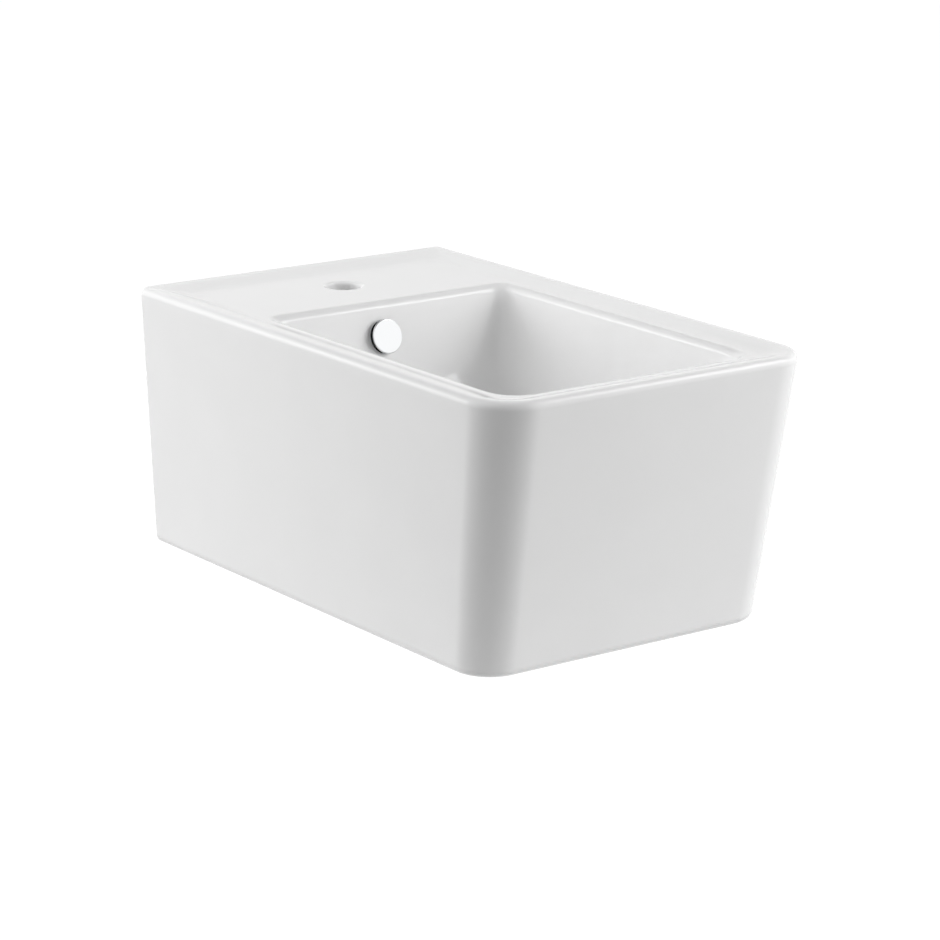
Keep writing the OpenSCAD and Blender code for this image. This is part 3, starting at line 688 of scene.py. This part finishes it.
def rodTree():  # threaded rods along Y, one on each side, with chamfered ends
    tree, fields = newTree("threadedRods", "Rods", {
        "Float": ["Spacing", "Wall radius", "Room radius", "Shoulder", "Shoulder length", "Start", "Length",
                  "Pitch", "Thread depth", "Crest end", "Root start", "Chamfer", "Weld distance"],
        "Int": ["Rows", "Columns"], "Material": ["Finish"]})
    addRows(tree, fields, (
        ("rowShare", "DIVIDE", "index", "Columns"), ("row", "FLOOR", "rowShare"),
        ("column", "MODULO", "index", "Columns"), ("lastColumn", "SUBTRACT", "Columns", 1.0),
        ("turn", "DIVIDE", "column", "lastColumn"), ("angle", "MULTIPLY", "turn", 2 * math.pi),
        ("lastRow", "SUBTRACT", "Rows", 1.0), ("rowsLeft", "SUBTRACT", "lastRow", "row"),
        ("fromEnd", "MINIMUM", "row", "rowsLeft"), ("solid", "MINIMUM", "fromEnd", 1.0),
        ("endRow", "SUBTRACT", "Rows", 2.0),
        ("along", "ShaderNodeMapRange", "row", 1.0, "endRow", 0.0, "Length"),
        ("level", "ADD", "along", "Start"), ("turns", "DIVIDE", "along", "Pitch"),
        ("phase", "ADD", "turns", "turn"), ("wave", "PINGPONG", "phase", 0.5),
        ("groove", "ShaderNodeMapRange", "wave", "Crest end", "Root start", 0.0, "Thread depth"),
        ("shoulderEnd", "ADD", "Shoulder", "Shoulder length"),
        ("crest", "ShaderNodeMapRange", "level", "Shoulder", "shoulderEnd", "Room radius", "Wall radius"),
        ("lengthLeft", "SUBTRACT", "Length", "along"), ("tip", "MINIMUM", "along", "lengthLeft"),
        ("threaded", "SUBTRACT", "crest", "groove"), ("nose", "SUBTRACT", "crest", "Chamfer"),
        ("bevelled", "ADD", "nose", "tip"), ("outer", "MINIMUM", "threaded", "bevelled"),
        ("radius", "MULTIPLY", "outer", "solid"), ("cosine", "COSINE", "angle"), ("sine", "SINE", "angle"),
        ("x", "MULTIPLY", "radius", "cosine"), ("z", "MULTIPLY", "radius", "sine"),
        ("place", "ShaderNodeCombineXYZ", "x", "level", "z"),
        ("left", "MULTIPLY", "Spacing", -0.5), ("leftEnd", "ShaderNodeCombineXYZ", "left"),
        ("right", "MULTIPLY", "Spacing", 0.5), ("rightEnd", "ShaderNodeCombineXYZ", "right")))
    oneRod = weldedSheet(tree, fields, fields["Rows"], fields["Columns"], fields["place"])
    line = addNode(tree, "GeometryNodeMeshLine", {"mode": "END_POINTS"},
                   {"Count": 2, "Start Location": fields["leftEnd"], "Offset": fields["rightEnd"]})
    rods = addNode(tree, "GeometryNodeInstanceOnPoints", None,
                   {"Points": line.outputs[0], "Instance": oneRod})
    return finishTree(tree, fields, rods.outputs[0])


def grown(name, tree, lengths, others):  # a piece that a tree makes from nothing, with its lengths in mm
    obj = show(bpy.data.objects.new(name, bpy.data.meshes.new(name)))
    modifier = obj.modifiers.new("grown", "NODES")
    modifier.node_group = tree
    setInputs(modifier, {key: length * mm for key, length in lengths.items()})
    setInputs(modifier, others)
    return outwards(applied(obj))


studPiece = grown("wallStuds", rodTree(), {
    "Spacing": fixing["spacing"], "Wall radius": studs["wallRadius"], "Room radius": studs["roomRadius"],
    "Shoulder": studs["shoulder"], "Shoulder length": studs["shoulderLength"], "Start": studs["start"],
    "Length": studs["length"], "Pitch": studs["pitch"], "Thread depth": studs["threadDepth"],
    "Chamfer": studs["chamfer"], "Weld distance": weldDistance}, {
    "Crest end": studs["crestEnd"], "Root start": studs["rootStart"], "Rows": studs["rows"],
    "Columns": studs["columns"], "Finish": zinc})
piece(studPiece, "basin", ["wall_studs"], zinc)

# The cartridge's spring, whose turns close up at both ends
spring = {"coilRadius": 4.3, "wireRadius": 0.45, "turns": 7, "foot": -94.65, "head": -73.95, "closing": 0.68,
          "pointsPerTurn": 40, "wireSides": 12, "seat": -95.1, "travel": 8, "sharpAbove": 60}


def springTree():
    tree, fields = newTree("coiledWire", "Spring", {
        "Float": ["Coil radius", "Wire radius", "Turns", "Foot", "Length", "Closing", "Back"],
        "Int": ["Points", "Wire sides"], "Material": ["Finish"]})
    addRows(tree, fields, (
        ("last", "SUBTRACT", "Points", 1.0), ("share", "DIVIDE", "index", "last"),
        ("round", "MULTIPLY", "share", 2 * math.pi), ("angle", "MULTIPLY", "round", "Turns"),
        ("cosine", "COSINE", "angle"), ("sine", "SINE", "angle"),
        ("x", "MULTIPLY", "Coil radius", "cosine"), ("y", "MULTIPLY_ADD", "Coil radius", "sine", "Back"),
        ("sway", "SINE", "round"), ("swayShare", "MULTIPLY", "Closing", 1 / (2 * math.pi)),
        ("eased", "MULTIPLY", "sway", "swayShare"), ("climb", "SUBTRACT", "share", "eased"),
        ("z", "MULTIPLY_ADD", "climb", "Length", "Foot"), ("place", "ShaderNodeCombineXYZ", "x", "y", "z")))
    line = addNode(tree, "GeometryNodeMeshLine", None, {"Count": fields["Points"]})
    wound = addNode(tree, "GeometryNodeSetPosition", None,
                    {"Geometry": line.outputs[0], "Position": fields["place"]})
    path = addNode(tree, "GeometryNodeMeshToCurve", None, {0: wound.outputs[0]})
    wire = addNode(tree, "GeometryNodeCurvePrimitiveCircle", None,
                   {"Resolution": fields["Wire sides"], "Radius": fields["Wire radius"]})
    swept = addNode(tree, "GeometryNodeCurveToMesh", None,
                    {"Curve": path.outputs[0], "Profile Curve": wire.outputs[0], "Fill Caps": True})
    return finishTree(tree, fields, swept.outputs[0])


springPiece = piece(grown("plugSpring", springTree(), {
    "Coil radius": spring["coilRadius"], "Wire radius": spring["wireRadius"], "Foot": spring["foot"],
    "Length": spring["head"] - spring["foot"], "Back": -bowl["wasteBack"]}, {
    "Turns": spring["turns"], "Closing": spring["closing"],
    "Points": spring["turns"] * spring["pointsPerTurn"] + 1, "Wire sides": spring["wireSides"],
    "Finish": zinc}), "basin", ["plug_spring"], zinc, spring["sharpAbove"])
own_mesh(springPiece)

# Waste body: the CAD's own shape with a pipe thread cut round its tube
tail = {"radius": 20.95, "pitch": 2.309, "threadDepth": 1.2, "grooveWidth": 2.0, "low": -159, "high": -105,
        "standOut": 0.4, "runOut": 0.2, "stepsPerTurn": 48}


def cadCopy(name, nodeName):
    shape = bmesh.new()
    shape.from_mesh(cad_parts[nodeName].data)
    bmesh.ops.remove_doubles(shape, verts=shape.verts, dist=samePoint)
    return show(fromShape(name, shape))


def grooveCutter():  # a helix of five-sided rings, whose bottom rises out of the tube in its last half turn
    radius, outer, half = tail["radius"], tail["radius"] + tail["standOut"], tail["grooveWidth"] / 2
    count = round((tail["high"] - tail["low"]) / tail["pitch"] * tail["stepsPerTurn"])
    rings = []
    for i in range(count + 1):
        turns, sunk = i / tail["stepsPerTurn"], min(1.0, 2 * (count - i) / tail["stepsPerTurn"])
        bottom = radius + tail["runOut"] - (tail["threadDepth"] + tail["runOut"]) * sunk
        outline = ((bottom, 0), (radius, -half), (outer, -half), (outer, half), (radius, half))
        c, s = math.cos(2 * math.pi * turns), math.sin(2 * math.pi * turns)
        z = tail["low"] + tail["pitch"] * turns
        rings.append([(r * c, r * s - bowl["wasteBack"], z + rise) for r, rise in outline])
    return solid("grooveCutter", rings)


wasteTube = combined(cadCopy("wasteBody", "waste_body"), [grooveCutter()], "DIFFERENCE")
piece(wasteTube, "basin", ["waste_body"], chrome)
print("threads and spring made")

# Floor and surroundings: a plain pale studio, where the object stands over a bright table in a darker room.
# The camera sees floor and world as white, and the gloss mirrors a ceiling that is bright only at the left
studio = {"floor": -330, "floorSize": 12000, "floorColour": "#F4F4F4", "shadowShare": 0.08, "floorGlow": 1.08,
          "tableColour": "#D1D1D1", "roomColour": "#303030", "tableRadius": 500, "tableFade": 400,
          "worldLevel": 0.2, "ceilingFrom": 29, "ceilingTo": 37, "ceilingLevel": 0.15, "ceilingLeft": -0.5,
          "ceilingRight": -0.2, "middle": (0, -285, -50), "lampDistance": 2.2}
white = (1, 1, 1, 1)
floorZ, reach = studio["floor"] * mm, studio["floorSize"] * mm / 2
floorMesh = bpy.data.meshes.new("floor")
floorMesh.from_pydata([(x * reach, y * reach, floorZ) for x, y in ((-1, -1), (1, -1), (1, 1), (-1, 1))],
                      [], [(0, 1, 2, 3)])
floorObject = show(bpy.data.objects.new("floor", floorMesh))
floorMaterial, tree = newMaterial("matPaleFloor")
path = addNode(tree, "ShaderNodeLightPath").outputs
direct = addNode(tree, "ShaderNodeMath", {"operation": "MAXIMUM"},
                 {0: path["Is Camera Ray"], 1: path["Is Glossy Ray"]})
seen = addNode(tree, "ShaderNodeMath", {"operation": "MAXIMUM"},
               {0: direct.outputs[0], 1: path["Is Transmission Ray"]})
lit = addNode(tree, "ShaderNodeBsdfDiffuse", None, {"Color": linear(studio["floorColour"])})
surface = addNode(tree, "ShaderNodeNewGeometry").outputs
away = addNode(tree, "ShaderNodeVectorMath", {"operation": "DISTANCE"},
               {0: surface["Position"], 1: (0, studio["middle"][1] * mm, floorZ)})
beyond = addNode(tree, "ShaderNodeMapRange", {"interpolation_type": "SMOOTHSTEP"},
                 {"Value": away.outputs["Value"], "From Min": studio["tableRadius"] * mm,
                  "From Max": (studio["tableRadius"] + studio["tableFade"]) * mm})
around = addNode(tree, "ShaderNodeMix", {"data_type": "RGBA"},
                 {0: beyond.outputs[0], 6: linear(studio["tableColour"]), 7: linear(studio["roomColour"])})
bounce = addNode(tree, "ShaderNodeBsdfDiffuse", None, {"Color": around.outputs[2]})
glow = addNode(tree, "ShaderNodeEmission", None, {"Color": white, "Strength": studio["floorGlow"]})
pale = addNode(tree, "ShaderNodeMixShader", None,
               {0: studio["shadowShare"], 1: glow.outputs[0], 2: lit.outputs[0]})
chosen = addNode(tree, "ShaderNodeMixShader", None,
                 {0: seen.outputs[0], 1: bounce.outputs[0], 2: pale.outputs[0]})
clear = addNode(tree, "ShaderNodeBsdfTransparent")
oneSided = addNode(tree, "ShaderNodeMixShader", None,
                   {0: surface["Backfacing"], 1: chosen.outputs[0], 2: clear.outputs[0]})
addNode(tree, "ShaderNodeOutputMaterial", None, {"Surface": oneSided.outputs[0]})
floorMesh.materials.append(floorMaterial)

world = bpy.data.worlds.new("studio")
bpy.context.scene.world = world
world.use_nodes = True
tree = world.node_tree
tree.nodes.clear()
path = addNode(tree, "ShaderNodeLightPath").outputs
seen = addNode(tree, "ShaderNodeMath", {"operation": "MAXIMUM"},
               {0: path["Is Camera Ray"], 1: path["Is Transmission Ray"]})
fill = addNode(tree, "ShaderNodeMix", {"data_type": "FLOAT"},
               {"Factor": seen.outputs[0], 2: studio["worldLevel"], 3: 1.0})
heading = addNode(tree, "ShaderNodeTexCoord").outputs["Generated"]
height = addNode(tree, "ShaderNodeSeparateXYZ", None, {0: heading}).outputs
above = addNode(tree, "ShaderNodeMapRange", {"interpolation_type": "SMOOTHSTEP"},
                {"Value": height["Z"], "From Min": math.sin(math.radians(studio["ceilingFrom"])),
                 "From Max": math.sin(math.radians(studio["ceilingTo"]))})
aside = addNode(tree, "ShaderNodeMapRange", {"interpolation_type": "SMOOTHSTEP"},
                {"Value": height["X"], "From Min": studio["ceilingLeft"], "From Max": studio["ceilingRight"]})
dark = addNode(tree, "ShaderNodeMath", {"operation": "MULTIPLY"}, {0: above.outputs[0], 1: aside.outputs[0]})
ceiling = addNode(tree, "ShaderNodeMix", {"data_type": "FLOAT"},
                  {"Factor": dark.outputs[0], 2: 1.0, 3: studio["ceilingLevel"]})
mirrored = addNode(tree, "ShaderNodeMix", {"data_type": "FLOAT"},
                   {"Factor": path["Is Glossy Ray"], 2: fill.outputs[0], 3: ceiling.outputs[0]})
sky = addNode(tree, "ShaderNodeBackground", None, {"Color": white, "Strength": mirrored.outputs[0]})
addNode(tree, "ShaderNodeOutputWorld", None, {"Surface": sky.outputs[0]})

# Soft boxes and small lamps for the edges, all aimed at the body's middle: sizes in metres, power in watts
lamps = {
    "leftRear": {"azimuth": -133, "elevation": 27, "size": (3.2, 2.2), "power": 64, "mirrored": False},
    "rightFront": {"azimuth": 38, "elevation": 16, "size": (3.0, 2.2), "power": 47.5, "mirrored": False},
    "edgeLeft": {"azimuth": -145, "elevation": 12, "size": (0.9, 1.0), "power": 2.2, "mirrored": True},
    "edgeLeftNear": {"azimuth": -139.5, "elevation": 19, "size": (0.5, 0.6), "power": 1.4, "mirrored": True},
    "edgeRight": {"azimuth": 54.5, "elevation": 38, "size": (1.0, 0.8), "power": 10, "mirrored": True},
    "capGlow": {"azimuth": 37, "elevation": 18, "size": (2.2, 1.6), "power": 2.2, "mirrored": True},
}
for name, lamp in lamps.items():
    aim = towards(lamp["azimuth"], lamp["elevation"])
    light = bpy.data.lights.new(name, "AREA")
    light.shape, light.energy = "RECTANGLE", lamp["power"]
    light.size, light.size_y = lamp["size"]
    lampObject = show(bpy.data.objects.new(name, light))
    lampObject.visible_glossy = lamp["mirrored"]
    lampPlace = Matrix.Translation(Vector(studio["middle"]) * mm + aim * studio["lampDistance"])
    lampObject.matrix_world = lampPlace @ aim.to_track_quat("Z", "Y").to_matrix().to_4x4()
print("studio lit by", len(lamps), "lamps")

bpy.context.scene.view_settings.view_transform = "Standard"
